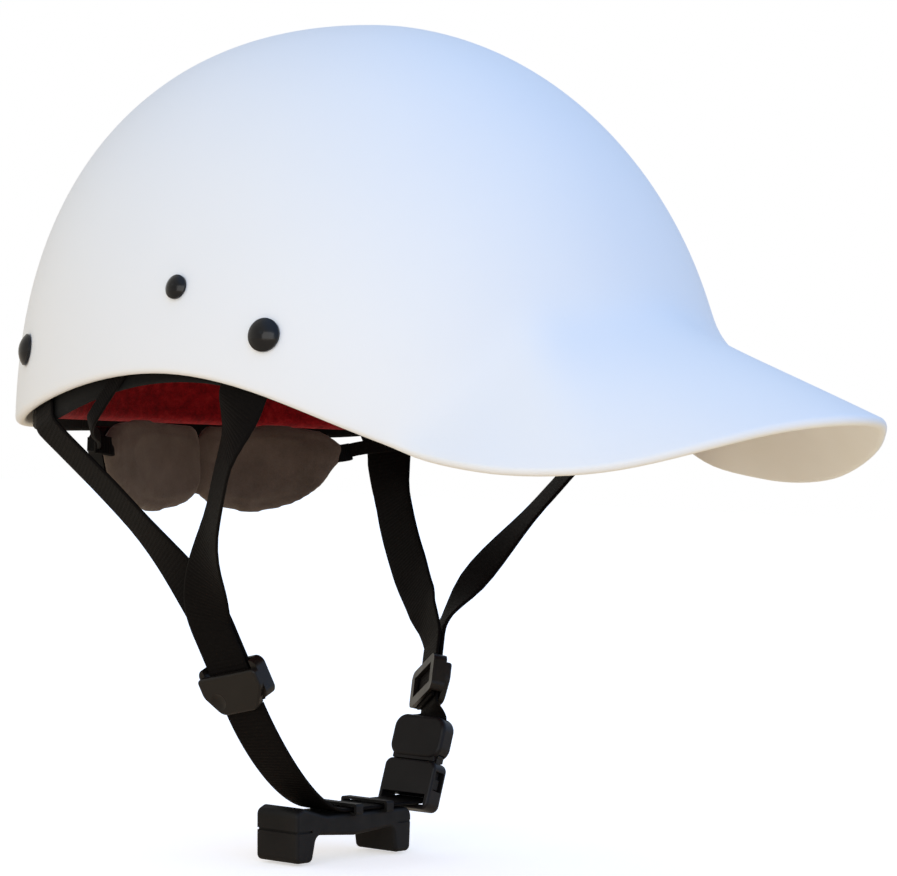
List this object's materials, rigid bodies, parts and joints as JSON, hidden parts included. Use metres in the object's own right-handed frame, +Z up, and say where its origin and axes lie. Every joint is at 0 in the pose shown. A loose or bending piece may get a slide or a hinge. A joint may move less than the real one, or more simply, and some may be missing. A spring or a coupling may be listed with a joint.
{
  "type": "water sports helmet",
  "caption": "Peaked cap-shaped water sports helmet shell with foam liner, riveted webbing harness, chin cup, side-release buckle and hanging nape pad.",
  "frame": {"origin": "centre of the head opening, at the level of the shell's rear edge", "axes": "+X forward along the bill, +Y to the wearer's left, +Z up through the crown"},
  "size_m": [0.351, 0.2308, 0.3075],
  "materials": {
    "shell_white": "satin white moulded plastic",
    "foam_red": "closed-cell foam",
    "band_black": "matt binding",
    "hook_fabric": "hook and loop",
    "rivet_black": "gloss black",
    "washer_steel": "plain",
    "webbing": "ribbed webbing",
    "nape_fabric": "taupe knitted cover",
    "backing_plastic": "matt",
    "guide_plastic": "satin moulded",
    "buckle_plastic": "satin moulded",
    "cup_rubber": "moulded rubber"
  },
  "bodies": {
    "helmet": {"shell": "shell_white", "crown_pad": "foam_red", "front_pad": "foam_red", "rear_pad": "foam_red", "left_side_pad": "foam_red", "right_side_pad": "foam_red", "rim_band": "band_black", "sweatband": "band_black", "hook_discs": "hook_fabric", "strap_rivets": "rivet_black", "strap_rivet_washers": "washer_steel", "pad_rivets": "rivet_black", "pad_rivet_washers": "washer_steel", "left_front_strap": "webbing", "left_rear_strap": "webbing", "right_front_strap": "webbing", "right_rear_strap": "webbing", "left_pad_strap": "webbing", "right_pad_strap": "webbing", "left_buckle_strap": "webbing", "buckle_tongue": "buckle_plastic"},
    "nape": {"nape_pad": "nape_fabric", "nape_backing": "backing_plastic"},
    "left_guide": {"left_strap_guide": "guide_plastic"},
    "right_guide": {"right_strap_guide": "guide_plastic"},
    "chin_harness": {"chin_strap": "webbing", "buckle_socket": "buckle_plastic"},
    "chin_cup": {"chin_cup": "cup_rubber"},
    "prong_front": {"buckle_prong_front": "buckle_plastic"},
    "prong_rear": {"buckle_prong_rear": "buckle_plastic"}
  },
  "joints": [
    {"name": "nape_pad_tilt", "type": "hinge", "parent": "helmet", "child": "nape", "pos_m": [-0.069, 0, -0.005], "axis": [0, 1, 0], "range_deg": [-15, 25]},
    {"name": "left_guide_slide", "type": "slide", "parent": "helmet", "child": "left_guide", "axis": [-0.2098, 0.3846, 0.899], "range_m": [0, 0.006]},
    {"name": "right_guide_slide", "type": "slide", "parent": "helmet", "child": "right_guide", "axis": [-0.2098, -0.3846, 0.899], "range_m": [-0.001, 0.008]},
    {"name": "chin_strap_release", "type": "hinge", "parent": "helmet", "child": "chin_harness", "pos_m": [-0.01115, -0.05382, -0.09766], "axis": [-1, 0, 0], "range_deg": [0, 6.5]},
    {"name": "chin_cup_slide", "type": "slide", "parent": "chin_harness", "child": "chin_cup", "axis": [0, 1, 0], "range_m": [-0.007, 0.001]},
    {"name": "prong_front_squeeze", "type": "hinge", "parent": "helmet", "child": "prong_front", "pos_m": [-0.0007, 0.04717, -0.12093], "axis": [0, 0.956, -0.2935], "range_deg": [0, 20]},
    {"name": "prong_rear_squeeze", "type": "hinge", "parent": "helmet", "child": "prong_rear", "pos_m": [-0.0193, 0.04717, -0.12093], "axis": [0, -0.956, 0.2935], "range_deg": [0, 20]}
  ],
  "couplings": [
    {"joint": "prong_front_squeeze", "follows": "chin_strap_release", "ratio": 2.5},
    {"joint": "prong_rear_squeeze", "follows": "chin_strap_release", "ratio": 2.5}
  ]
}
